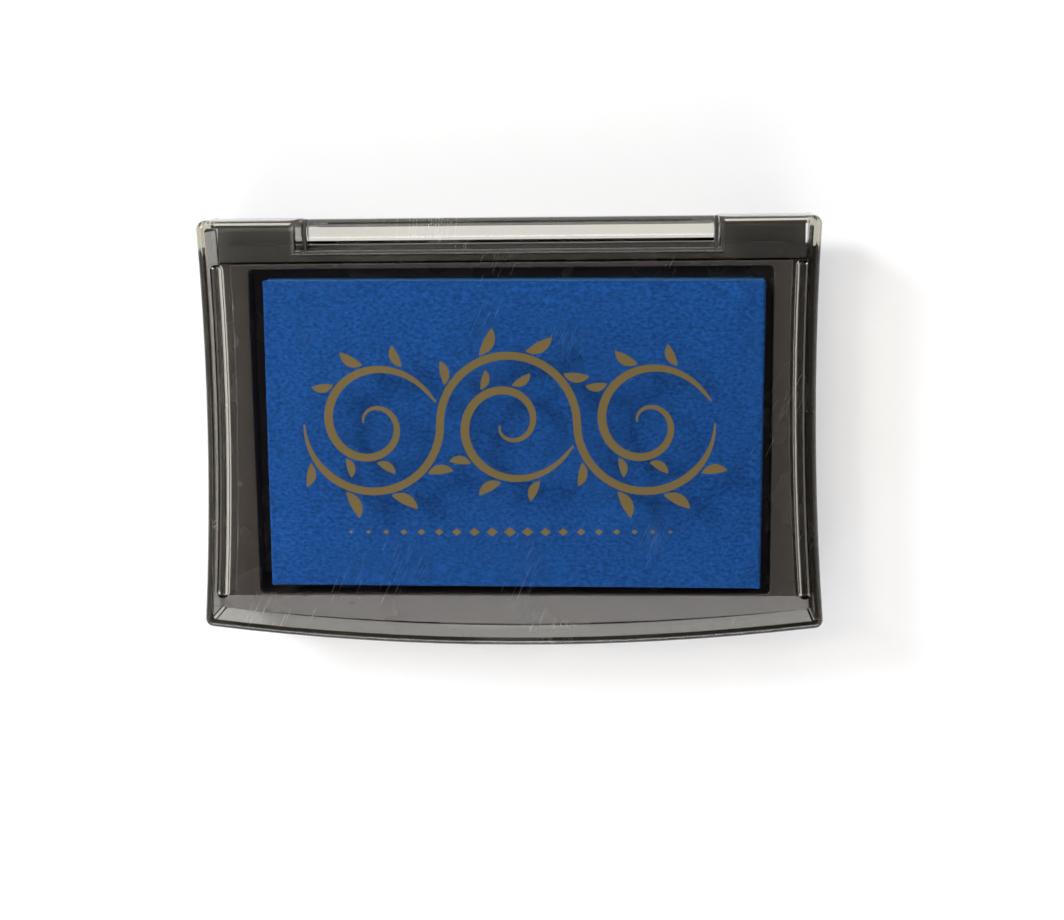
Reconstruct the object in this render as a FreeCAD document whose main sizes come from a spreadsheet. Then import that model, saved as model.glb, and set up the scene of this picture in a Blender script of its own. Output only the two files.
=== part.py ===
import FreeCAD, Part
import math
import os
import re
import Sketcher

# A hinged ink pad. A black base holds a drop-in tray with a raised, cloth-covered ink pad.
# A clear lid with a moulded hinge barrel turns on two stub pins in the ears of the base,
# through half a turn, until it lies flat behind the base.
# Frame: +Z up, +Y towards the hinge, origin under the middle of the closed case.

SIZES = (
    # name, millimetres or degrees, meaning
    ("pad_width", 76.6, "cloth-covered pad, which the case is built around"),
    ("pad_depth", 48.0, "cloth-covered pad"),
    ("pad_rise", 2.0, "pad above the raised frame"),
    ("pad_thick", 6.3, "pad with its glue sheet"),
    ("gap_beside", 1.6, "each side of the pad in its well"),
    ("gap_along", 1.4, "before and behind the pad in its well"),
    ("pad_round", 0.5, "top edges of the pad"),
    ("cloth_thick", 0.6, "cover cloth"),
    ("glue_thick", 0.2, "double-sided sheet under the pad"),
    ("glue_margin", 1.5, "glue sheet inside the pad's edge"),
    ("side_channel", 2.2, "between the raised frame and the lid's wall"),
    ("front_room", 1.55, "between the well's wall and the base's front corners"),
    ("rear_gap", 0.3, "between the tray and the base's rear block"),
    ("seam_height", 9.5, "where lid meets base, and height of the hinge axis"),
    ("front_bow", 3.0, "how far the front bulges between its corners"),
    ("side_radius", 465.0, "hollow sides"),
    ("waist_back", 11.0, "narrowest place of the case, behind its middle"),
    ("corner_round", 1.3, "upright corners of lid and base"),
    ("inner_round", 0.6, "upright corners inside lid and base"),
    ("edge_round", 1.0, "top edge of the lid"),
    ("foot_round", 0.6, "bottom edge of the base"),
    ("draft_angle", 1.0, "outer walls lean in away from the seam, degrees"),
    ("seam_gap", 0.1, "between the lid's rim and the base's rim"),
    ("lid_wall", 1.3, "clear walls"),
    ("lid_plate", 1.5, "clear top"),
    ("base_wall", 1.6, "black outer walls"),
    ("rear_wall", 2.05, "black wall in front of the hinge"),
    ("block_rise", 2.5, "block on that wall, above the seam"),
    ("block_aside", 1.15, "block's ends beyond the raised frame"),
    ("block_cut", 1.4, "slanted rear corners of the block"),
    ("ledge_width", 0.5, "ledge in those walls that the tray's flange sits on"),
    ("base_floor", 1.5, "black bottom"),
    ("axis_inset", 2.2, "hinge axis in front of the rear plane"),
    ("barrel_radius", 1.9, "hinge barrel"),
    ("barrel_length", 62.0, "hinge barrel between the ears"),
    ("barrel_groove", 0.3, "depth and width of the moulding groove along the barrel"),
    ("groove_aside", 1.1, "groove behind and above the hinge axis"),
    ("boss_length", 3.3, "plain end of the barrel beside the groove"),
    ("root_thick", 1.2, "web that joins barrel and lid"),
    ("notch_gap", 0.6, "between barrel and the lid's rear wall"),
    ("notch_side", 0.4, "between barrel end and the side of the lid's notch"),
    ("notch_wall", 0.8, "clear walls around that notch"),
    ("pin_radius", 0.8, "stub pins on the barrel's ends"),
    ("pin_length", 2.4, "stub pin beyond the barrel's end"),
    ("pin_clearance", 0.05, "running fit of a pin, on the radius"),
    ("pin_end_gap", 0.3, "between a pin's end and the bottom of its hole"),
    ("cheek_gap", 0.15, "between barrel end and ear"),
    ("ear_radius", 1.9, "ears around the pins"),
    ("ear_margin", 0.5, "between ear and the lid's side wall"),
    ("swing_gap", 0.35, "between parts that pass each other as the lid turns"),
    ("open_gap", 0.2, "between the open lid and the rear of the base"),
    ("sill_gap", 0.15, "between the barrel and the thicker middle of the base's rear wall"),
    ("deck_thick", 1.3, "tray's flange"),
    ("deck_fit", 0.1, "between tray flange and base wall"),
    ("tray_wall", 0.8, "walls of the well"),
    ("tray_floor", 1.3, "floor of the well"),
    ("well_round", 0.8, "upright corners of the well"),
    ("frame_rise", 3.0, "raised frame above the seam"),
    ("frame_side", 2.6, "width of the raised frame beside the pad, at the waist"),
    ("frame_land", 0.3, "flat of the frame in front of the pad"),
    ("frame_round", 0.2, "top edges of the raised frame"),
    ("lip_rise", 1.3, "foot of the front ramp above the seam"),
    ("snap_length", 24.0, "snap bead at the middle of the front"),
    ("snap_stand", 0.25, "how far the bead stands out"),
    ("snap_sink", 0.2, "depth of the groove in the tray's lip"),
    ("bead_radius", 0.35, "snap bead and groove"),
    ("rib_width", 1.8, "half-round ribs under the lid's top"),
    ("rib_height", 1.8, "half-round ribs"),
    ("rib_flat", 0.2, "narrow flat left along a rib's rounded edge and ends"),
    ("rib_front", 0.5, "ribs start behind the well's front wall"),
    ("rib_rear", 1.0, "ribs end behind the well's rear wall"),
    ("stay_thick", 1.2, "stays that carry the well"),
    ("stay_pitch", 18.0, "from stay to stay"),
    ("stay_count", 4, "number of stays"),
    ("nail_radius", 60.0, "scoop under the seam for a fingernail"),
    ("nail_depth", 0.6, "scoop"),
    ("nail_height", 3.5, "scoop below the seam"),
    ("label_width", 70.0, "sticker underneath"),
    ("label_depth", 38.0, "sticker underneath"),
    ("label_thick", 0.12, "sticker"),
    ("label_sink", 0.25, "recess for the sticker"),
    ("label_margin", 0.8, "recess around the sticker"),
    ("label_round", 2.5, "corners of the sticker"),
)

# Places and sizes that follow from those above, as spreadsheet expressions.
WELL_WIDTH = "(pad_width + 2 * gap_beside)"
WELL_DEPTH = "(pad_depth + 2 * gap_along)"
FRAME_HALF = "(pad_width / 2 + gap_beside + frame_side)"
WAIST_HALF = "(%s + side_channel + lid_wall)" % FRAME_HALF
BEFORE_WELL = "(tray_wall + front_room + base_wall + front_bow)"
BEHIND_WELL = "(tray_wall + rear_gap + rear_wall + open_gap + 2 * axis_inset)"
REAR = "(pad_depth / 2 + gap_along + (%s + %s) / 2)" % (BEFORE_WELL, BEHIND_WELL)
FRONT = "(-%s)" % REAR
PAD_Y = "((%s - %s) / 2)" % (BEFORE_WELL, BEHIND_WELL)
WELL_FRONT = "(%s + %s)" % (FRONT, BEFORE_WELL)
WELL_REAR = "(%s - %s)" % (REAR, BEHIND_WELL)
TOP = "(2 * seam_height)"  # so that the open lid lies level with the base
BEYOND = TOP  # cuts run this far past the solid
AXIS_Y = "(%s - axis_inset)" % REAR
SIDE_CENTRE = "(%s + side_radius)" % WAIST_HALF
HALF_WIDTH = "(%s - sqrt(side_radius^2 - (%s + front_bow - waist_back)^2))" % (SIDE_CENTRE, FRONT)
AXIS_HALF = "(%s - sqrt(side_radius^2 - (%s - waist_back)^2))" % (SIDE_CENTRE, AXIS_Y)
BASE_REAR = "(%s - 2 * axis_inset - open_gap)" % REAR
FRONT_RADIUS = "((%s^2 + front_bow^2) / (2 * front_bow))" % HALF_WIDTH
RIM = "(seam_height + seam_gap)"
LID_UNDERSIDE = "(%s - lid_plate)" % TOP
NOTCH_Y = "(%s - barrel_radius - notch_gap)" % AXIS_Y
NOTCH_X = "(barrel_length / 2 + notch_side)"
EAR_INNER = "(barrel_length / 2 + cheek_gap)"
EAR_OUTER = "(%s - lid_wall - ear_margin)" % AXIS_HALF
SILL_REAR = "(%s - barrel_radius - sill_gap)" % AXIS_Y
LEDGE_INSET = "(base_wall - ledge_width)"
BLOCK_FRONT = "(%s - rear_wall)" % BASE_REAR
TRAY_REAR = "(%s + tray_wall)" % WELL_REAR
RAMP_TOP_Y = "(%s - frame_land)" % WELL_FRONT
FRAME_INSET = "(side_channel + lid_wall)"
RIB_ROUND = "((rib_width - rib_flat) / 2)"
OVER_EARS = "(seam_height + ear_radius + swing_gap)"
DECK_UNDERSIDE = "(seam_height - deck_thick)"
FRAME_TOP = "(seam_height + frame_rise)"
PAD_TOP = "(%s + pad_rise)" % FRAME_TOP
WELL_FLOOR = "(%s - pad_thick)" % PAD_TOP
TUB_UNDERSIDE = "(%s - tray_floor)" % WELL_FLOOR
LIP_INSET = "(lid_wall + swing_gap)"

DOC = FreeCAD.newDocument("InkPad")
SHEET = DOC.addObject("Spreadsheet::Sheet", "Sizes")
for row, (size_name, size, meaning) in enumerate(SIZES, start=1):
    SHEET.set("A%d" % row, size_name)
    SHEET.set("B%d" % row, str(size))
    SHEET.set("C%d" % row, meaning)
    SHEET.setAlias("B%d" % row, size_name)
DOC.recompute()


def bind(thing, prop, text):
    """Tie a property to spreadsheet cells. Every size name holds an underscore."""
    thing.setExpression(prop, re.sub(r"[a-z]+(_[a-z]+)+", r"Sizes.\g<0>", text))


def value(text):
    """What such an expression gives now."""
    return float(SHEET.evalExpression(text))


def new_body(name):
    body = DOC.addObject("PartDesign::Body", name)
    body.Label = name
    return body


def origin_feature(body, role):
    return [feature for feature in body.Origin.OriginFeatures if feature.Role == role][0]


# ---- sketches

def new_sketch(body, name, plane, lift, x="0", y="0"):
    """A sketch on one of the body's own planes, moved by lift along its normal."""
    sketch = body.newObject("Sketcher::SketchObject", name)
    sketch.AttachmentSupport = [(origin_feature(body, plane), "")]
    sketch.MapMode = "FlatFace"
    bind(sketch, "AttachmentOffset.Base.x", x)
    bind(sketch, "AttachmentOffset.Base.y", y)
    bind(sketch, "AttachmentOffset.Base.z", lift)
    return sketch


def dimension(sketch, kind, *where_and_text):
    """A dimension whose value is an expression."""
    *where, text = where_and_text
    index = sketch.addConstraint(Sketcher.Constraint(kind, *where, value(text)))
    bind(sketch, "Constraints[%d]" % index, text)


def polygon(body, name, plane, lift, corners):
    """Closed outline through corners, each a pair of expressions."""
    sketch = new_sketch(body, name, plane, lift)
    spots = [FreeCAD.Vector(value(x), value(y), 0) for x, y in corners]
    for here, there in zip(spots, spots[1:] + spots[:1]):
        sketch.addGeometry(Part.LineSegment(here, there))
    for index, (x, y) in enumerate(corners):
        following = (index + 1) % len(corners)
        sketch.addConstraint(Sketcher.Constraint("Coincident", index, 2, following, 1))
        dimension(sketch, "DistanceX", -1, 1, index, 1, x)
        dimension(sketch, "DistanceY", -1, 1, index, 1, y)
    return sketch


def rectangle(body, name, plane, lift, x_range, y_range):
    (left, right), (low, high) = x_range, y_range
    corners = [(left, low), (right, low), (right, high), (left, high)]
    return polygon(body, name, plane, lift, corners)


def middle_rectangle(body, name, lift, width, depth, y="0"):
    """Rectangle about the case's middle plane, its centre at y."""
    half = "(%s) / 2" % width
    across = ("-" + half, half)
    along = ("%s - (%s) / 2" % (y, depth), "%s + (%s) / 2" % (y, depth))
    return rectangle(body, name, "XY_Plane", lift, across, along)


def circle(body, name, plane, lift, x, y, radius):
    sketch = new_sketch(body, name, plane, lift, x, y)
    upright = FreeCAD.Vector(0, 0, 1)
    sketch.addGeometry(Part.Circle(FreeCAD.Vector(0, 0, 0), upright, value(radius)))
    sketch.addConstraint(Sketcher.Constraint("Coincident", 0, 3, -1, 1))
    dimension(sketch, "Radius", 0, radius)
    return sketch


def hollow_side(y, inset):
    """How far the right side, drawn in by inset, lies from the middle plane at y."""
    reach = value("side_radius + (%s)" % inset)
    return value(SIDE_CENTRE) - math.sqrt(reach ** 2 - (y - value("waist_back")) ** 2)


def spot(x, y):
    return FreeCAD.Vector(x, y, 0)


def join_up(sketch, ends):
    """Close an outline. Each item gives a curve and its end, twice."""
    for here, end, there, start in ends:
        sketch.addConstraint(Sketcher.Constraint("Coincident", here, end, there, start))


def pin_side(sketch, arc, inset, sign=""):
    """Hold an arc on the hollow side's centre."""
    dimension(sketch, "Radius", arc, "side_radius + (%s)" % inset)
    dimension(sketch, "DistanceX", -1, 1, arc, 3, sign + SIDE_CENTRE)
    dimension(sketch, "DistanceY", -1, 1, arc, 3, "waist_back")


def case_outline(body, name, lift, inset, rear):
    """The case in plan, drawn in by inset: straight rear, hollow sides and bowed front."""
    sketch = new_sketch(body, name, "XY_Plane", lift)
    back = value(rear)
    front = value("%s + front_bow + (%s)" % (FRONT, inset))
    rear_x, middle_x, front_x = [hollow_side(y, inset) for y in (back, (back + front) / 2, front)]
    middle = (back + front) / 2
    bow = front - value("front_bow")
    rear_line, right_arc, front_arc, left_arc = range(4)
    sketch.addGeometry([
        Part.LineSegment(spot(-rear_x, back), spot(rear_x, back)),
        Part.Arc(spot(rear_x, back), spot(middle_x, middle), spot(front_x, front)),
        Part.Arc(spot(-front_x, front), spot(0, bow), spot(front_x, front)),
        Part.Arc(spot(-front_x, front), spot(-middle_x, middle), spot(-rear_x, back)),
    ])
    join_up(sketch, [(rear_line, 2, right_arc, 1), (right_arc, 2, front_arc, 2),
                     (front_arc, 1, left_arc, 1), (left_arc, 2, rear_line, 1)])
    sketch.addConstraint(Sketcher.Constraint("Horizontal", rear_line))
    dimension(sketch, "DistanceY", -1, 1, rear_line, 1, rear)
    dimension(sketch, "Radius", front_arc, "%s - (%s)" % (FRONT_RADIUS, inset))
    dimension(sketch, "DistanceX", -1, 1, front_arc, 3, "0")
    dimension(sketch, "DistanceY", -1, 1, front_arc, 3, "%s + %s" % (FRONT, FRONT_RADIUS))
    pin_side(sketch, right_arc, inset)
    pin_side(sketch, left_arc, inset, "-")
    return sketch


def side_strip(body, name, lift, inner, outer, low, high):
    """A strip along the right side, between two insets from it and from y low to y high."""
    sketch = new_sketch(body, name, "XY_Plane", lift)
    front, back = value(low), value(high)
    middle = (front + back) / 2
    inner_arc, rear_line, outer_arc, front_line = range(4)
    inner_spots, outer_spots = [
        [spot(hollow_side(y, inset), y) for y in (back, middle, front)] for inset in (inner, outer)]
    sketch.addGeometry([
        Part.Arc(*inner_spots),
        Part.LineSegment(inner_spots[0], outer_spots[0]),
        Part.Arc(*outer_spots),
        Part.LineSegment(outer_spots[2], inner_spots[2]),
    ])
    join_up(sketch, [(inner_arc, 1, rear_line, 1), (rear_line, 2, outer_arc, 1),
                     (outer_arc, 2, front_line, 1), (front_line, 2, inner_arc, 2)])
    for line, y in ((rear_line, high), (front_line, low)):
        sketch.addConstraint(Sketcher.Constraint("Horizontal", line))
        dimension(sketch, "DistanceY", -1, 1, line, 1, y)
    pin_side(sketch, inner_arc, inner)
    pin_side(sketch, outer_arc, outer)
    return sketch


# ---- features

def settle(body, feature):
    """Make the feature the body's tip and work it out."""
    body.Tip = feature
    DOC.recompute()
    return feature


def pad(body, sketch, name, length, down=False, both_ways=False):
    feature = body.newObject("PartDesign::Pad", name)
    feature.Profile = sketch
    feature.Reversed = down
    feature.Midplane = both_ways
    bind(feature, "Length", length)
    return settle(body, feature)


def pocket(body, sketch, name, depth, up=False, both_ways=False):
    """Cut away, along the sketch's normal if up is set and against it otherwise."""
    before = body.Shape.Volume
    feature = body.newObject("PartDesign::Pocket", name)
    feature.Profile = sketch
    feature.Reversed = up
    feature.Midplane = both_ways
    bind(feature, "Length", depth)
    settle(body, feature)
    if not feature.Shape.Volume < before:
        raise RuntimeError("%s cuts nothing" % name)
    return feature


def mirror(body, name, *originals):
    """Repeat features on the other side of the case's middle plane."""
    feature = body.newObject("PartDesign::Mirrored", name)
    feature.Originals = list(originals)
    feature.MirrorPlane = (origin_feature(body, "YZ_Plane"), [""])
    return settle(body, feature)


def edges_where(feature, wanted):
    edges = enumerate(feature.Shape.Edges, start=1)
    return ["Edge%d" % index for index, edge in edges if wanted(edge)]


def round_off(body, name, radius, wanted):
    """Round the edges of the body's tip that wanted picks."""
    tip = body.Tip
    feature = body.newObject("PartDesign::Fillet", name)
    feature.Base = (tip, edges_where(tip, wanted))
    bind(feature, "Radius", radius)
    settle(body, feature)
    if "Invalid" in feature.State:
        raise RuntimeError("%s can't be rounded" % name)
    return feature


def upright(low, high):
    """Picks edges that climb from height low to height high."""
    bottom, top = value(low), value(high)

    def wanted(edge):
        heights = sorted(vertex.Z for vertex in edge.Vertexes)
        return len(heights) == 2 and max(abs(heights[0] - bottom), abs(heights[1] - top)) < 1e-3

    return wanted


def level(height, near=lambda edge: True):
    """Picks edges that lie flat at a height."""
    here = value(height)

    def wanted(edge):
        return all(abs(vertex.Z - here) < 1e-3 for vertex in edge.Vertexes) and near(edge)

    return wanted


def lean_in(body, name, seam, far, down=False):
    """Give the outer walls their draft, away from the seam."""
    tip = body.Tip
    before = tip.Shape.Volume
    height = abs(value(far) - value(seam))
    walls = []
    neutral = []
    for index, face in enumerate(tip.Shape.Faces, start=1):
        box = face.BoundBox
        if box.ZLength > height / 2:
            walls.append("Face%d" % index)
        elif abs(box.ZMin - value(seam)) < 1e-3:
            neutral.append("Face%d" % index)
    feature = body.newObject("PartDesign::Draft", name)
    feature.Base = (tip, walls)
    feature.NeutralPlane = (tip, neutral)
    feature.Reversed = down
    bind(feature, "Angle", "draft_angle")
    settle(body, feature)
    if not feature.Shape.Volume < before:
        raise RuntimeError("%s leans the wrong way" % name)
    return feature


def turned_about_front(body, name, kind, radius, stand_in, height):
    """A round bead, or the groove for one, along the middle of the bowed front."""
    sketch = new_sketch(body, name + "_outline", "YZ_Plane", "0", "%s + %s" % (FRONT, FRONT_RADIUS))
    centre = "%s - (%s)" % (stand_in, FRONT_RADIUS)
    spot = FreeCAD.Vector(value(centre), value(height), 0)
    sketch.addGeometry(Part.Circle(spot, FreeCAD.Vector(0, 0, 1), value(radius)))
    dimension(sketch, "Radius", 0, radius)
    dimension(sketch, "DistanceX", -1, 1, 0, 3, centre)
    dimension(sketch, "DistanceY", -1, 1, 0, 3, height)
    before = body.Shape.Volume
    feature = body.newObject("PartDesign::" + kind, name)
    feature.Profile = sketch
    feature.ReferenceAxis = (sketch, ["V_Axis"])
    feature.Midplane = True
    bind(feature, "Angle", "snap_length / %s * 180 / pi" % FRONT_RADIUS)
    settle(body, feature)
    if abs(feature.Shape.Volume - before) < 1e-6:
        raise RuntimeError("%s changes nothing" % name)
    return feature


# ---- base shell: black moulding with walls, floor, ears and stays

def make_base_shell():
    body = new_body("base_shell")
    outline = case_outline(body, "base_outline", "seam_height", "0", REAR)
    pad(body, outline, "base_block", "seam_height", down=True)
    lean_in(body, "base_draft", "seam_height", "0", down=True)
    rear_strip = middle_rectangle(
        body, "rear_strip_outline", "seam_height", "2 * %s + %s" % (HALF_WIDTH, BEYOND), BEYOND,
        "%s + %s / 2" % (BASE_REAR, BEYOND))
    pocket(body, rear_strip, "rear_strip", "seam_height")
    round_off(body, "base_corners", "corner_round", upright("0", "seam_height"))
    round_off(body, "base_foot", "foot_round", level("0"))
    # Between the ears the rear wall is thicker and runs back to the barrel.
    sill = middle_rectangle(
        body, "sill_outline", "seam_height", "barrel_length", "%s - %s" % (SILL_REAR, BASE_REAR),
        "(%s + %s) / 2" % (SILL_REAR, BASE_REAR))
    pad(body, sill, "sill", "seam_height - foot_round", down=True)

    hollow = case_outline(body, "hollow_outline", "seam_height", "base_wall", BLOCK_FRONT)
    pocket(body, hollow, "hollow", "seam_height - base_floor")
    rebate = case_outline(body, "rebate_outline", "seam_height", LEDGE_INSET, BLOCK_FRONT)
    pocket(body, rebate, "rebate", "deck_thick")

    # The wall is doubled behind the scoop before the scoop is cut.
    inside = "%s + base_wall" % FRONT
    backing = rectangle(
        body, "nail_backing_outline", "XY_Plane", "base_floor",
        ("-snap_length / 2", "snap_length / 2"), (inside + " - nail_depth / 2", inside + " + nail_depth"))
    pad(body, backing, "nail_backing", DECK_UNDERSIDE + " - base_floor")
    scoop = circle(body, "scoop_outline", "XY_Plane", "seam_height", "0",
                   "%s + nail_depth - nail_radius" % FRONT, "nail_radius")
    pocket(body, scoop, "scoop", "nail_height")

    # Stays run from front to rear under the well.
    first = "-stay_pitch * (stay_count - 1) / 2"
    stay_outline = rectangle(
        body, "stay_outline", "XY_Plane", "base_floor",
        (first + " - stay_thick / 2", first + " + stay_thick / 2"), (WELL_FRONT, WELL_REAR))
    stay = pad(body, stay_outline, "stay", TUB_UNDERSIDE + " - base_floor")
    stays = body.newObject("PartDesign::LinearPattern", "stays")
    stays.Originals = [stay]
    stays.Direction = (origin_feature(body, "X_Axis"), [""])
    bind(stays, "Length", "stay_pitch * (stay_count - 1)")
    bind(stays, "Occurrences", "stay_count")
    settle(body, stays)

    # A block stands on the rear wall: narrow before the lid's notch, deep beside it.
    narrow = "%s - notch_wall - swing_gap" % NOTCH_Y
    deep = "%s - ear_radius" % AXIS_Y
    step = "%s + notch_wall + swing_gap" % NOTCH_X
    end = "%s + block_aside" % FRAME_HALF
    right_half = [(end, BLOCK_FRONT), (end, deep + " - block_cut"), (end + " - block_cut", deep),
                  (step, deep), (step, narrow)]
    left_half = [("-(%s)" % x, y) for x, y in reversed(right_half)]
    block = polygon(body, "block_outline", "XY_Plane", "seam_height", right_half + left_half)
    pad(body, block, "block", "block_rise")

    # Ears: arms over the rear wall, round about the hinge axis, with blind pin holes.
    arm_outline = rectangle(
        body, "arm_outline", "YZ_Plane", EAR_INNER, (BLOCK_FRONT, AXIS_Y),
        ("seam_height - ear_radius", "seam_height + ear_radius"))
    arm = pad(body, arm_outline, "arm", "%s - %s" % (EAR_OUTER, EAR_INNER))
    tip_outline = circle(body, "ear_tip_outline", "YZ_Plane", EAR_INNER, AXIS_Y, "seam_height",
                         "ear_radius")
    ear_tip = pad(body, tip_outline, "ear_tip", "%s - %s" % (EAR_OUTER, EAR_INNER))
    hole_outline = circle(body, "pin_hole_outline", "YZ_Plane", EAR_INNER, AXIS_Y, "seam_height",
                          "pin_radius + pin_clearance")
    hole_depth = "pin_length - cheek_gap + pin_end_gap"
    pin_hole = pocket(body, hole_outline, "pin_hole", hole_depth, up=True)
    mirror(body, "second_ear", arm, ear_tip, pin_hole)

    recess = middle_rectangle(
        body, "label_recess_outline", "0", "label_width + 2 * label_margin",
        "label_depth + 2 * label_margin")
    pocket(body, recess, "label_recess", "label_sink", up=True)
    round_off(body, "label_recess_corners", "label_round + label_margin",
              upright("0", "label_sink"))
    return body


# ---- tray: black drop-in moulding with deck, raised frame, front ramp and well

def make_pad_tray():
    body = new_body("pad_tray")
    deck = case_outline(body, "deck_outline", "seam_height", LEDGE_INSET + " + deck_fit",
                        TRAY_REAR)
    pad(body, deck, "deck", "deck_thick", down=True)
    frame = case_outline(body, "frame_outline", "seam_height", LIP_INSET, TRAY_REAR)
    pad(body, frame, "raised_frame", "frame_rise")
    margin_outline = side_strip(body, "margin_outline", "seam_height", FRAME_INSET, "0",
                                RAMP_TOP_Y, REAR)
    margin = pocket(body, margin_outline, "margin", "frame_rise", up=True)
    mirror(body, "second_margin", margin)
    ramp = polygon(
        body, "ramp_outline", "YZ_Plane", "0",
        [(RAMP_TOP_Y, FRAME_TOP),
         ("%s + %s" % (FRONT, LIP_INSET), "seam_height + lip_rise"),
         ("%s" % FRONT, "seam_height + lip_rise"),
         ("%s" % FRONT, FRAME_TOP)])
    pocket(body, ramp, "ramp", "4 * " + HALF_WIDTH, both_ways=True)
    tub = middle_rectangle(
        body, "tub_outline", "seam_height", WELL_WIDTH + " + 2 * tray_wall",
        WELL_DEPTH + " + 2 * tray_wall", PAD_Y)
    pad(body, tub, "tub", "seam_height - " + TUB_UNDERSIDE, down=True)
    well = middle_rectangle(body, "well_outline", FRAME_TOP, WELL_WIDTH, WELL_DEPTH, PAD_Y)
    pocket(body, well, "well", "pad_thick - pad_rise")
    round_off(body, "well_corners", "well_round", upright(WELL_FLOOR, FRAME_TOP))
    ramp_top = value(RAMP_TOP_Y)
    round_off(body, "frame_edges", "frame_round",
              level(FRAME_TOP, lambda edge: edge.CenterOfMass.y > ramp_top + 1e-3))
    turned_about_front(body, "snap_groove", "Groove", "bead_radius",
                       "%s + snap_sink - bead_radius" % LIP_INSET, "seam_height + lip_rise / 2")
    return body


# ---- ink pad: glue sheet, foam block and cover cloth

def soft_block(name, width, depth, low, high):
    """A plain block about the pad's centre line."""
    block = DOC.addObject("Part::Box", name)
    bind(block, "Length", width)
    bind(block, "Width", depth)
    bind(block, "Height", "%s - (%s)" % (high, low))
    bind(block, "Placement.Base.x", "-(%s) / 2" % width)
    bind(block, "Placement.Base.y", "%s - (%s) / 2" % (PAD_Y, depth))
    bind(block, "Placement.Base.z", low)
    return block


def make_pad_glue():
    glue = soft_block("pad_glue", "pad_width - 2 * glue_margin", "pad_depth - 2 * glue_margin",
                      WELL_FLOOR, WELL_FLOOR + " + glue_thick")
    glue.Label = "pad_glue"
    return glue


def make_ink_foam():
    foam = soft_block("ink_foam", "pad_width - 2 * cloth_thick", "pad_depth - 2 * cloth_thick",
                      WELL_FLOOR + " + glue_thick", PAD_TOP + " - cloth_thick")
    foam.Label = "ink_foam"
    return foam


def make_ink_cloth():
    """The cloth wraps the foam's top and sides."""
    low = WELL_FLOOR + " + glue_thick"
    outside = soft_block("cloth_outside", "pad_width", "pad_depth", low, PAD_TOP)
    core = soft_block("cloth_core", "pad_width - 2 * cloth_thick", "pad_depth - 2 * cloth_thick",
                      low, PAD_TOP + " - cloth_thick")
    DOC.recompute()
    top = value(PAD_TOP)
    rounded = DOC.addObject("Part::Fillet", "cloth_rounded")
    rounded.Base = outside
    radius = value("pad_round")
    rounded.Edges = [(index, radius, radius)
                     for index, edge in enumerate(outside.Shape.Edges, start=1)
                     if edge.BoundBox.ZMax > top - 1e-3]
    cloth = DOC.addObject("Part::Cut", "ink_cloth")
    cloth.Base = rounded
    cloth.Tool = core
    cloth.Label = "ink_cloth"
    return cloth


# ---- sticker in the recess under the base

def make_base_label():
    body = new_body("base_label")
    outline = middle_rectangle(body, "label_outline", "label_sink", "label_width", "label_depth")
    pad(body, outline, "sheet", "label_thick", down=True)
    round_off(body, "label_corners", "label_round", upright("label_sink - label_thick", "label_sink"))
    return body


# ---- lid: clear moulding with its notch, hinge barrel, pins, ribs and snap bead

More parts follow.
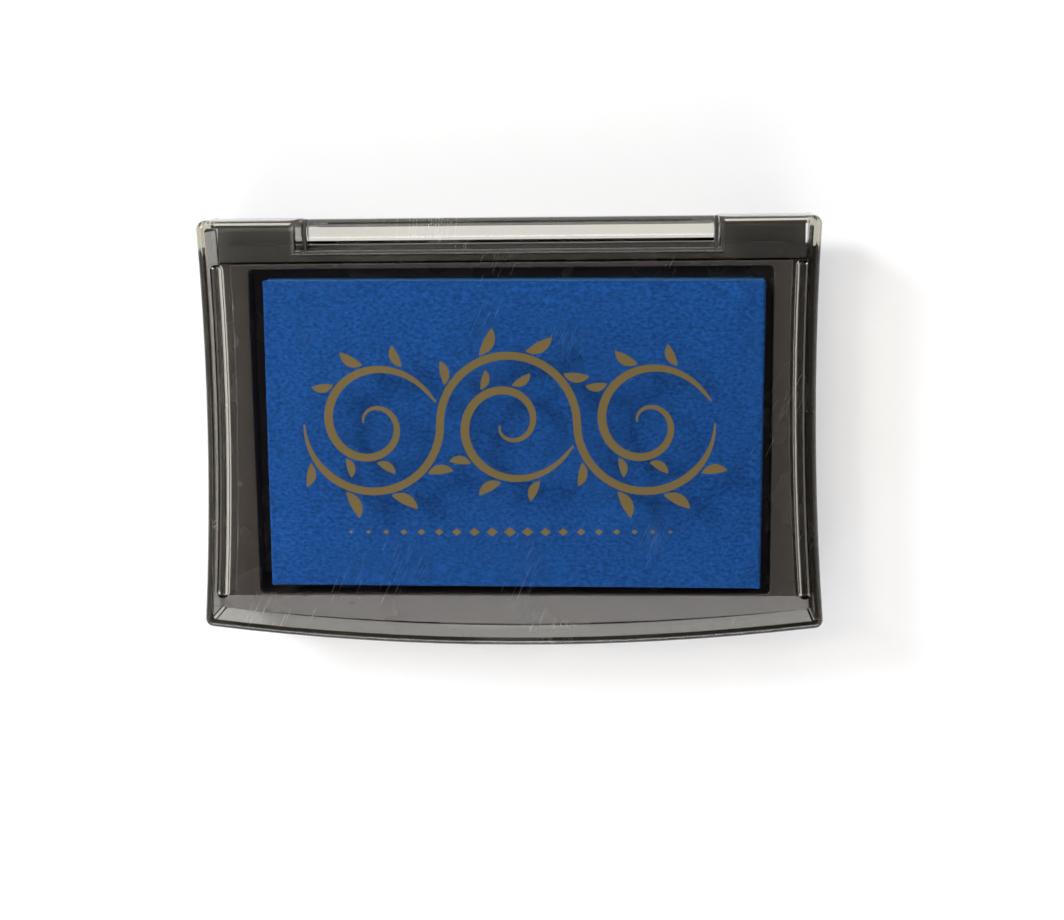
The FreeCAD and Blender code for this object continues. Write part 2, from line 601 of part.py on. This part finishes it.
def make_lid():
    body = new_body("lid")
    outline = case_outline(body, "lid_outline", RIM, "0", REAR)
    pad(body, outline, "lid_block", "%s - %s" % (TOP, RIM))
    lean_in(body, "lid_draft", RIM, TOP)
    round_off(body, "lid_corners", "corner_round", upright(RIM, TOP))
    hollow = case_outline(body, "lid_hollow_outline", RIM, "lid_wall", REAR + " - lid_wall")
    pocket(body, hollow, "lid_hollow", "%s - %s" % (LID_UNDERSIDE, RIM), up=True)
    round_off(body, "lid_hollow_corners", "inner_round", upright(RIM, LID_UNDERSIDE))

    # The notch for the hinge keeps walls of its own.
    notch_walls = rectangle(
        body, "notch_walls_outline", "XY_Plane", RIM,
        ("-%s - notch_wall" % NOTCH_X, "%s + notch_wall" % NOTCH_X),
        (NOTCH_Y + " - notch_wall", REAR + " - lid_wall / 2"))
    pad(body, notch_walls, "notch_walls", "%s - %s" % (LID_UNDERSIDE, RIM))
    notch = middle_rectangle(body, "notch_outline", TOP, "2 * " + NOTCH_X, BEYOND,
                             "%s + %s / 2" % (NOTCH_Y, BEYOND))
    pocket(body, notch, "notch", "%s - %s" % (TOP, RIM))
    round_off(body, "lid_top_edge", "edge_round", level(TOP))
    over_ear = rectangle(
        body, "over_ear_outline", "XY_Plane", RIM,
        ("barrel_length / 2", EAR_OUTER + " + swing_gap"),
        (NOTCH_Y + " - notch_wall - swing_gap", "%s + %s" % (REAR, BEYOND)))
    ear_room = pocket(body, over_ear, "ear_room", "%s - %s" % (OVER_EARS, RIM), up=True)
    mirror(body, "second_ear_room", ear_room)

    # Hinge: barrel on a web along the foot of the notch's wall, a pin on each end.
    root_outline = rectangle(body, "root_outline", "YZ_Plane", "0",
                             (NOTCH_Y + " - notch_wall / 2", AXIS_Y), (RIM, RIM + " + root_thick"))
    pad(body, root_outline, "root", "barrel_length", both_ways=True)
    barrel_outline = circle(body, "barrel_outline", "YZ_Plane", "0", AXIS_Y, "seam_height",
                            "barrel_radius")
    pad(body, barrel_outline, "barrel", "barrel_length", both_ways=True)
    groove_outline = rectangle(
        body, "groove_outline", "YZ_Plane", "0",
        (AXIS_Y + " + groove_aside", AXIS_Y + " + groove_aside + barrel_groove"),
        ("seam_height + groove_aside", "seam_height + 2 * barrel_radius"))
    pocket(body, groove_outline, "groove", "barrel_length - 2 * boss_length", both_ways=True)
    pins_outline = circle(body, "pins_outline", "YZ_Plane", "0", AXIS_Y, "seam_height",
                          "pin_radius")
    pad(body, pins_outline, "pins", "barrel_length + 2 * pin_length", both_ways=True)

    rib_outline = side_strip(
        body, "rib_outline", LID_UNDERSIDE, FRAME_INSET, FRAME_INSET + " - rib_width",
        WELL_FRONT + " + rib_front", WELL_REAR + " + rib_rear")
    rib = pad(body, rib_outline, "rib", "rib_height", down=True)
    rib_low = "%s - rib_height" % LID_UNDERSIDE
    ends = round_off(body, "rib_ends", RIB_ROUND, upright(rib_low, LID_UNDERSIDE))
    underside = round_off(body, "rib_underside", RIB_ROUND, level(rib_low))
    mirror(body, "second_rib", rib, ends, underside)
    turned_about_front(body, "snap_bead", "Revolution", "bead_radius",
                       "lid_wall + snap_stand - bead_radius", "seam_height + lip_rise / 2")
    return body


PIECES = [
    make_base_shell(),
    make_pad_tray(),
    make_pad_glue(),
    make_ink_foam(),
    make_ink_cloth(),
    make_base_label(),
    make_lid(),
]

DOC.recompute()
for thing in DOC.Objects:
    if "Invalid" in thing.State or "Error" in thing.State:
        raise RuntimeError("%s failed: %s" % (thing.Label, thing.State))
for piece in PIECES:
    if piece.Shape.isNull() or not piece.Shape.isValid():
        raise RuntimeError("%s has no valid shape" % piece.Label)

os.makedirs("parts", exist_ok=True)
for piece in PIECES:
    piece.Shape.exportStep("parts/%s.step" % piece.Label)
    box = piece.Shape.BoundBox
    print("%-12s %d solid(s) %8.1f mm3  z %.2f to %.2f" % (
        piece.Label, len(piece.Shape.Solids), piece.Shape.Volume, box.ZMin, box.ZMax))
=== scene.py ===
import math
import bmesh
import bpy
from mathutils import Matrix, Vector


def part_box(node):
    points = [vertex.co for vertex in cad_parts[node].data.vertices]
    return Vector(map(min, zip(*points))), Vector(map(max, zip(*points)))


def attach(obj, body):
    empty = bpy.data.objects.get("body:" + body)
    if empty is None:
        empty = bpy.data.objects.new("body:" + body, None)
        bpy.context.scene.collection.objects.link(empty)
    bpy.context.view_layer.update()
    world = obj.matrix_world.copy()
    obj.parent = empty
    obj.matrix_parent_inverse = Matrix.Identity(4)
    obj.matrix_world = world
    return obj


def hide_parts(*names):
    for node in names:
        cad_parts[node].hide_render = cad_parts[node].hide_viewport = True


# A hinged ink pad, closed: black base and tray, blue cloth-covered pad, clear lid with a gilt print.
# Metres. +Z is up, +Y points at the hinge, and the origin lies under the middle of the case.

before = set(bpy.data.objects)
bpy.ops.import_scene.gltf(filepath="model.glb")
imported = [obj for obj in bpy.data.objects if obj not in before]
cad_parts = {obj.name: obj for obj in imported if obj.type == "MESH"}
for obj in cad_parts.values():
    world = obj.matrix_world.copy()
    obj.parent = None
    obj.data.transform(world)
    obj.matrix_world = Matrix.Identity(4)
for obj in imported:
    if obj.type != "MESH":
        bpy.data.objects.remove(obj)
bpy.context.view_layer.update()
MM = 0.001


# ---- Base shell: a black polystyrene moulding with walls, floor and two hinge ears.
# Its mould was lightly sparked, so the outside is satin.

def new_finish(name, roughness, colour=None):
    """A node material: its Principled shader, its nodes and a call that joins two sockets."""
    material = bpy.data.materials.new(name)
    material.use_nodes = True
    nodes = material.node_tree.nodes
    shader = nodes["Principled BSDF"]
    shader.inputs["Roughness"].default_value = roughness
    if colour:
        shader.inputs["Base Color"].default_value = (*colour, 1)
    return material, shader, nodes, material.node_tree.links.new


def noise_of(nodes, link, size, detail=3.0, stretch=(1, 1, 1), turned=0):
    """Noise with grains about size metres across, fixed to the piece; turned is in degrees."""
    place = nodes.new("ShaderNodeTexCoord")
    scale = nodes.new("ShaderNodeMapping")
    scale.vector_type = "TEXTURE"
    scale.inputs["Scale"].default_value = [size * share for share in stretch]
    scale.inputs["Rotation"].default_value = (0, 0, math.radians(turned))
    grain = nodes.new("ShaderNodeTexNoise")
    grain.inputs["Scale"].default_value = 1
    grain.inputs["Detail"].default_value = detail
    link(place.outputs["Object"], scale.inputs["Vector"])
    link(scale.outputs["Vector"], grain.inputs["Vector"])
    return grain.outputs["Fac"]


def ramp_of(nodes, link, factor, *stops):
    """Colours or greys between stops of (place, colour)."""
    ramp = nodes.new("ShaderNodeValToRGB")
    for index, (place, colour) in enumerate(stops):
        stop = ramp.color_ramp.elements[index] if index < 2 else ramp.color_ramp.elements.new(place)
        stop.position = place
        stop.color = (*colour, 1) if isinstance(colour, tuple) else (colour, colour, colour, 1)
    link(factor, ramp.inputs["Fac"])
    return ramp.outputs["Color"]


def raised(nodes, link, shader, height, depth, strength=1.0):
    """Bump: depth in metres for a full step of height."""
    bump = nodes.new("ShaderNodeBump")
    bump.inputs["Distance"].default_value = depth
    bump.inputs["Strength"].default_value = strength
    link(height, bump.inputs["Height"])
    link(bump.outputs["Normal"], shader.inputs["Normal"])


def black_moulding(name, low, high, dark, light, grain_depth):
    """Black polystyrene: roughness and tone both wander a little."""
    material, shader, nodes, link = new_finish(name, low)
    handled = noise_of(nodes, link, 9 * MM, 2)
    link(ramp_of(nodes, link, handled, (0.15, low), (0.85, high)), shader.inputs["Roughness"])
    link(ramp_of(nodes, link, handled, (0.15, dark), (0.85, light)), shader.inputs["Base Color"])
    raised(nodes, link, shader, noise_of(nodes, link, 0.25 * MM, 2), grain_depth)
    return material


def give(piece, material):
    piece.data.materials.clear()
    piece.data.materials.append(material)


satin_black = black_moulding("satin_black", 0.4, 0.48, (0.012, 0.0109, 0.0104), (0.015, 0.0138, 0.0131),
                             0.006 * MM)
give(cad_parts["base_shell"], satin_black)


# ---- Pad tray: a second black moulding, dropped into the base, with a polished mould's soft gloss.
# It has the deck, the raised frame round the pad, the front ramp and the well.

glossy_black = black_moulding("glossy_black", 0.25, 0.29, (0.033, 0.0284, 0.0273),
                              (0.038, 0.0327, 0.0315), 0.001 * MM)
give(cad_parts["pad_tray"], glossy_black)


# ---- Glue sheet: a thin double-sided film that holds the pad down in its well.
# It is die-cut a little smaller than the pad, so that none of it shows beside the cloth.

def two_toned(name, roughness, dark, light, size, detail, stretch=(1, 1, 1), metallic=0):
    """A finish whose colour wanders between two (place, colour) stops, in patches of a size."""
    material, shader, nodes, link = new_finish(name, roughness)
    shader.inputs["Metallic"].default_value = metallic
    patches = noise_of(nodes, link, size, detail, stretch)
    link(ramp_of(nodes, link, patches, dark, light), shader.inputs["Base Color"])
    return material


glue_film = two_toned("glue_film", 0.35, (0.35, (0.7, 0.66, 0.55)), (0.65, (0.8, 0.77, 0.68)),
                      0.8 * MM, 5)
give(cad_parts["pad_glue"], glue_film)


# ---- Ink pad: a block of dense foam in a fine crepe cover, both soaked with blue pigment ink.
# The cover is drawn tight over the foam's top and sides and bonded to its foot, so it swells a
# little between the corners. It is worked out at ten times its size, where cloth behaves.

pad_low, pad_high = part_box("ink_cloth")
pad_size = pad_high - pad_low
pad_centre = (pad_low + pad_high) / 2
cover_thick = 0.6 * MM
pad_corner = 0.5 * MM
pad_slip = Vector((0.42, -0.2, 0)) * MM  # it was glued in by hand, a little off and turned
pad_turn = math.radians(-0.38)
swell = 0.3 * MM
swell_steps = 20
thread = 0.8 * MM
enlarged = 10


def ticks(half, radius, spacing):
    """Places along a side: even in the flat, and one for every 15 degrees round each edge."""
    flat = half - radius
    count = max(2, round(2 * flat / spacing))
    inner = [flat * (2 * index / count - 1) for index in range(1, count)]
    bend = [flat + radius * math.tan(math.radians(degrees)) for degrees in (0, 15, 30, 45)]
    return [-place for place in reversed(bend)] + inner + bend


def rounded_block(size, radius, spacing):
    """A closed skin of quads around a block, its edges rolled to a radius."""
    sides = [ticks(length / 2, radius, spacing) for length in size]
    core = [length / 2 - radius for length in size]
    skin = bmesh.new()
    made = {}

    def corner(key):
        if key not in made:
            point = Vector(sides[axis][key[axis]] for axis in range(3))
            heart = Vector(min(max(point[axis], -core[axis]), core[axis]) for axis in range(3))
            made[key] = skin.verts.new(heart + (point - heart).normalized() * radius)
        return made[key]

    for axis in range(3):
        first, second = [other for other in range(3) if other != axis]
        for end in (0, len(sides[axis]) - 1):
            for row in range(len(sides[first]) - 1):
                for column in range(len(sides[second]) - 1):
                    ring = []
                    for step_1, step_2 in ((0, 0), (1, 0), (1, 1), (0, 1)):
                        key = [0, 0, 0]
                        key[axis], key[first], key[second] = end, row + step_1, column + step_2
                        ring.append(corner(tuple(key)))
                    skin.faces.new(ring)
    bmesh.ops.recalc_face_normals(skin, faces=skin.faces)
    return skin


def new_piece(name, skin, material):
    mesh = bpy.data.meshes.new(name)
    skin.to_mesh(mesh)
    skin.free()
    piece = bpy.data.objects.new(name, mesh)
    bpy.context.scene.collection.objects.link(piece)
    give(piece, material)
    for face in mesh.polygons:
        face.use_smooth = True
    return piece


def swollen(piece, most):
    """Let the cloth swell from within, with its underside held, by no more than most."""
    rest = [vertex.co.copy() for vertex in piece.data.vertices]
    foot = min(point.z for point in rest)
    held = piece.vertex_groups.new(name="held")
    held.add([index for index, point in enumerate(rest) if point.z < foot + most], 1, "REPLACE")
    cloth = piece.modifiers.new("cloth", "CLOTH")
    cloth.settings.vertex_group_mass = held.name
    cloth.settings.use_pressure = True
    cloth.settings.uniform_pressure_force = 4
    cloth.settings.effector_weights.gravity = 0
    cloth.point_cache.frame_start, cloth.point_cache.frame_end = 1, swell_steps
    for step in range(1, swell_steps + 1):
        bpy.context.scene.frame_set(step)
    seen = piece.evaluated_get(bpy.context.evaluated_depsgraph_get())
    for vertex, point, moved in zip(piece.data.vertices, rest, seen.data.vertices):
        shift = moved.co - point
        vertex.co = point + shift * min(1, most / max(shift.length, 1e-9))
    piece.modifiers.remove(cloth)
    piece.vertex_groups.clear()
    bpy.context.scene.frame_set(1)


def inked(name, dark, light, grain, rough):
    """Soaked crepe: its colour follows the crepe's bumps, darker in their hollows and brighter on their
    crowns.
    """
    material, shader, nodes, link = new_finish(name, rough)
    shader.inputs["Specular IOR Level"].default_value = 0.03
    shader.inputs["Sheen Weight"].default_value = 0.3
    shader.inputs["Sheen Roughness"].default_value = 0.3
    shader.inputs["Sheen Tint"].default_value = (0.25, 0.6, 1, 1)
    crepe = noise_of(nodes, link, grain, 3, (1.5, 1, 1))
    soak = noise_of(nodes, link, 18 * grain, 2)
    both = nodes.new("ShaderNodeMath")
    both.operation = "MULTIPLY_ADD"
    both.inputs[1].default_value = 0.1
    link(soak, both.inputs[0])
    link(crepe, both.inputs[2])
    link(ramp_of(nodes, link, both.outputs[0], (0.35, dark), (0.75, light)), shader.inputs["Base Color"])
    raised(nodes, link, shader, crepe, 0.5 * grain)
    return material


start_size = Vector(pad_size) - Vector((0, 0, 1)) * swell
form = rounded_block(start_size * enlarged, pad_corner * enlarged, thread * enlarged)
cover = new_piece("pad_cover", form, inked("inked_crepe", (0.0047, 0.0325, 0.137), (0.0108, 0.0704, 0.285),
                                           0.45 * MM, 0.6))
swollen(cover, swell * enlarged)
seat = Vector((pad_centre.x, pad_centre.y, pad_low.z + start_size.z / 2)) + pad_slip
foot = pad_low.z
for vertex in cover.data.vertices:
    vertex.co = Matrix.Rotation(pad_turn, 3, "Z") @ (vertex.co / enlarged) + seat
    vertex.co.z = max(vertex.co.z, foot)

under_cover = 1.05 * cover_thick  # the foam stays clear of the cloth's inside
foam = cover.copy()
foam.data = cover.data.copy()
foam.name = "foam_block"
bpy.context.scene.collection.objects.link(foam)
give(foam, inked("inked_foam", (0.004, 0.03, 0.13), (0.01, 0.06, 0.24), 0.3 * MM, 0.8))
shrink = Vector((1 - 2 * under_cover / pad_size.x, 1 - 2 * under_cover / pad_size.y,
                 1 - under_cover / pad_size.z))
for vertex in foam.data.vertices:
    vertex.co.x = seat.x + (vertex.co.x - seat.x) * shrink.x
    vertex.co.y = seat.y + (vertex.co.y - seat.y) * shrink.y
    vertex.co.z = foot + (vertex.co.z - foot) * shrink.z

cut = bmesh.new()
cut.from_mesh(cover.data)
bmesh.ops.delete(cut, geom=[face for face in cut.faces if face.normal.z < -0.5], context="FACES")
cut.to_mesh(cover.data)
cut.free()
finer = cover.modifiers.new("finer", "SUBSURF")
finer.levels = finer.render_levels = 1
hem = cover.modifiers.new("thickness", "SOLIDIFY")
hem.thickness = cover_thick
hem.offset = -1

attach(cover, "base")
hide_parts("ink_cloth")
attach(foam, "base")
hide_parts("ink_foam")


# ---- Sticker: a plain matt paper label with rounded corners.
# It is stuck in a shallow recess under the base, where it can't be rubbed off.

paper = two_toned("paper", 0.8, (0.3, (0.72, 0.7, 0.66)), (0.7, (0.8, 0.79, 0.76)),
                  0.6 * MM, 6, (2, 1, 1))
give(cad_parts["base_label"], paper)


# ---- Lid: one clear polystyrene moulding with its hinge barrel, stub pins and ribs.
# The mould was polished, so it is glass clear. Looked at along its walls it is faintly olive,
# and being put in and out of drawers has left a few fine scratches on it.

def clear_plastic():
    material, shader, nodes, link = new_finish("clear_plastic", 0.015, (0.99, 0.99, 0.985))
    shader.inputs["Transmission Weight"].default_value = 1
    shader.inputs["IOR"].default_value = 1.57
    passing = nodes.new("ShaderNodeBsdfTransparent")
    passing.inputs["Color"].default_value = (0.86, 0.86, 0.84, 1)
    ray = nodes.new("ShaderNodeLightPath")
    either = nodes.new("ShaderNodeMixShader")
    link(ray.outputs["Is Shadow Ray"], either.inputs["Fac"])
    link(shader.outputs["BSDF"], either.inputs[1])
    link(passing.outputs["BSDF"], either.inputs[2])
    link(either.outputs["Shader"], nodes["Material Output"].inputs["Surface"])
    worn = nodes.new("ShaderNodeMath")
    worn.operation = "MULTIPLY"
    link(noise_of(nodes, link, 0.1 * MM, 1, (1, 90, 90), -24), worn.inputs[0])
    link(noise_of(nodes, link, 12 * MM, 1), worn.inputs[1])
    link(ramp_of(nodes, link, worn.outputs[0], (0.44, 0.015), (0.49, 0.4)), shader.inputs["Roughness"])
    tint = nodes.new("ShaderNodeVolumeAbsorption")
    tint.inputs["Color"].default_value = (0.45, 0.4, 0.2, 1)
    tint.inputs["Density"].default_value = 110
    link(tint.outputs["Volume"], nodes["Material Output"].inputs["Volume"])
    return material


give(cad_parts["lid"], clear_plastic())


# ---- Print on the lid: a plain running scroll in gilt ink, screened on the outside of the top.
# Three leafy scrolls turn up and down in turn along one wavy stem, over a row of lozenges. The
# ink is one thin layer, and small gaps part its strokes. Its drawing is in millimetres.

lid_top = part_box("lid")[1].z
ink_layer = 0.02 * MM
print_centre = Vector((pad_centre.x, pad_centre.y, lid_top + 0.005 * MM))
scroll_radius = 10.3
scroll_row = 2.4
stem_width = 1.2
eye_radius = 1.3  # where a branch ends, near its scroll's centre
branch_start, branch_winds = -19, 510  # degrees
lozenge_row = -14.2
lozenge_pitch = 2.7
lozenges_each_side = 9
lozenge_half = Vector((0.95, 0.75))  # the middle one's; the others shrink towards the ends
# Where the leaves stand round a scroll, in degrees, and how long they are.
outer_leaves = ((148, 3.6), (112, 4.4), (76, 4.4), (42, 3.8))
inner_leaves = ((-62, 3.4), (-98, 3.8), (-134, 3.2), (-232, 3.0), (-276, 3.2))


def stroke(skin, path, width_at):
    """A flat line of varying width along the path, in millimetres from the print's centre."""
    rim = []
    for index, point in enumerate(path):
        ahead = path[min(index + 1, len(path) - 1)] - path[max(index - 1, 0)]
        across = Vector((-ahead.y, ahead.x)).normalized() * width_at(index / (len(path) - 1)) / 2
        rim.append([skin.verts.new((*((point + side * across) * MM), 0)) for side in (-1, 1)])
    for (right, left), (next_right, next_left) in zip(rim, rim[1:]):
        skin.faces.new((right, next_right, next_left, left))


def lozenge(skin, middle, half):
    ring = [(half.x, 0), (0, half.y), (-half.x, 0), (0, -half.y)]
    skin.faces.new([skin.verts.new((*((middle + Vector(place)) * MM), 0)) for place in ring])


def scroll(skin, centre, way):
    """One turn of the stem round a centre, its branch that winds in, and their leaves."""
    def around(degrees, reach):
        angle = math.radians(degrees)
        return centre + reach * Vector((math.cos(angle), way * math.sin(angle)))

    def branch_reach(share):
        return scroll_radius - (scroll_radius - eye_radius) * share ** 0.75

    def leaf(root_at, reach, lean, length, width):
        root = around(root_at, reach)
        along = (around(root_at + lean, 1) - centre).normalized()
        across = Vector((-along.y, along.x)) * way
        path = [root + along * length * share - across * width * 0.3 * math.sin(math.pi * share)
                for share in [step / 12 for step in range(13)]]
        stroke(skin, path, lambda share: 0.1 + width * math.sin(math.pi * share) ** 0.8)

    steps = 60
    branch = [around(branch_start - branch_winds * step / steps, branch_reach(step / steps))
              for step in range(steps + 1)]
    stroke(skin, branch, lambda share: 0.25 + 1.05 * math.sin(math.pi * share ** 0.6))
    for root_at, length in outer_leaves:
        leaf(root_at, scroll_radius + stem_width / 2 + 0.35, -48, length, length * 0.36)
    for root_at, length in inner_leaves:
        share = (branch_start - root_at) / branch_winds
        leaf(root_at, branch_reach(share) + 1.0, -52, length, length * 0.38)


def gilt_ornament():
    skin = bmesh.new()
    stem = []
    for index in (-1, 0, 1):
        centre = Vector((2 * scroll_radius * index, scroll_row))
        way = -1 if index else 1
        scroll(skin, centre, way)
        for step in range(25):
            angle = math.radians(180 - 7.5 * step)
            stem.append(centre + scroll_radius * Vector((math.cos(angle), way * math.sin(angle))))
    stroke(skin, stem, lambda share: stem_width * min(1, 0.2 + 9 * share, 0.2 + 9 * (1 - share)))
    for place in range(-lozenges_each_side, lozenges_each_side + 1):
        size = 1 - abs(place) / 14
        lozenge(skin, Vector((place * lozenge_pitch, lozenge_row)), lozenge_half * size)
    bmesh.ops.recalc_face_normals(skin, faces=skin.faces)
    for face in skin.faces:
        if face.normal.z < 0:
            face.normal_flip()
    return skin


gilt = two_toned("gilt_ink", 0.42, (0.3, (0.13, 0.094, 0.03)), (0.7, (0.19, 0.138, 0.047)),
                 0.15 * MM, 4, metallic=0.4)
ornament = new_piece("gilt_print", gilt_ornament(), gilt)
for face in ornament.data.polygons:
    face.use_smooth = False
ornament.location = print_centre
layer = ornament.modifiers.new("layer", "SOLIDIFY")
layer.thickness = ink_layer
layer.offset = 1
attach(ornament, "lid")


# ---- Studio: a frosted white sheet, softly lit from below, in a pale room that is dark overhead.
# A small soft box stands behind on the left, a wide one in front and a long one behind.

def area_light(name, azimuth, elevation, distance, width, height, radiance, colour=(1, 1, 1)):
    """A soft box that faces the pad; radiance is what a mirror would show of it."""
    light = bpy.data.lights.new(name, "AREA")
    light.shape = "RECTANGLE"
    light.size = width
    light.size_y = height
    light.energy = radiance * width * height * math.pi
    light.color = colour
    around, up = math.radians(azimuth), math.radians(elevation)
    towards = Vector((math.cos(around) * math.cos(up), math.sin(around) * math.cos(up), math.sin(up)))
    lamp = bpy.data.objects.new(name, light)
    lamp.location = towards * distance
    lamp.rotation_euler = towards.to_track_quat("Z", "Y").to_euler()
    bpy.context.scene.collection.objects.link(lamp)


area_light("key", 147, 41, 1.0, 0.2, 0.2, 82)
area_light("front_box", -90, 33, 1.0, 1.2, 0.35, 5, (0.97, 0.98, 1.06))
area_light("rear_box", 90, 32, 1.0, 0.9, 0.3, 2)

world = bpy.data.worlds.new("studio")
world.use_nodes = True
sky = world.node_tree.nodes
sky_link = world.node_tree.links.new
direction = sky.new("ShaderNodeTexCoord")
height = sky.new("ShaderNodeSeparateXYZ")
sky_link(direction.outputs["Generated"], height.inputs[0])
pale, dark_overhead = (0.72, (0.62, 0.59, 0.6)), (0.92, (0.009, 0.008, 0.008))
sky_link(ramp_of(sky, sky_link, height.outputs["Z"], pale, dark_overhead),
         sky["Background"].inputs["Color"])
bpy.context.scene.world = world

room_for_print = 2.5 * ink_layer  # under the lid when it lies open
bpy.ops.mesh.primitive_plane_add(size=6, location=(0, 0, -room_for_print))
floor = bpy.context.object
floor.name = "floor"
floor_finish, floor_shader = new_finish("frosted_sheet", 0.9, (0.5, 0.5, 0.5))[:2]
floor_shader.inputs["Emission Color"].default_value = (1, 1, 1, 1)
floor_shader.inputs["Emission Strength"].default_value = 0.36
give(floor, floor_finish)

camera_data = bpy.data.cameras.new("camera")
camera_data.sensor_width = 36
camera_data.lens = 56.228
camera = bpy.data.objects.new("camera", camera_data)
bpy.context.scene.collection.objects.link(camera)
leans = (("X", 10.046), ("Y", -2.928), ("Z", 0.644))
turn = Matrix.Identity(3)
for axis, degrees in leans:
    turn = turn @ Matrix.Rotation(math.radians(degrees), 3, axis)
aside = Vector((-2.544, 6.162, -268.612)) * MM
pad_middle = Vector((0, -0.6, 0)) * MM
stand = Matrix.Translation(pad_middle - turn.transposed() @ aside)
camera.matrix_world = stand @ turn.transposed().to_4x4()
bpy.context.scene.camera = camera
bpy.context.scene.view_settings.view_transform = "Standard"
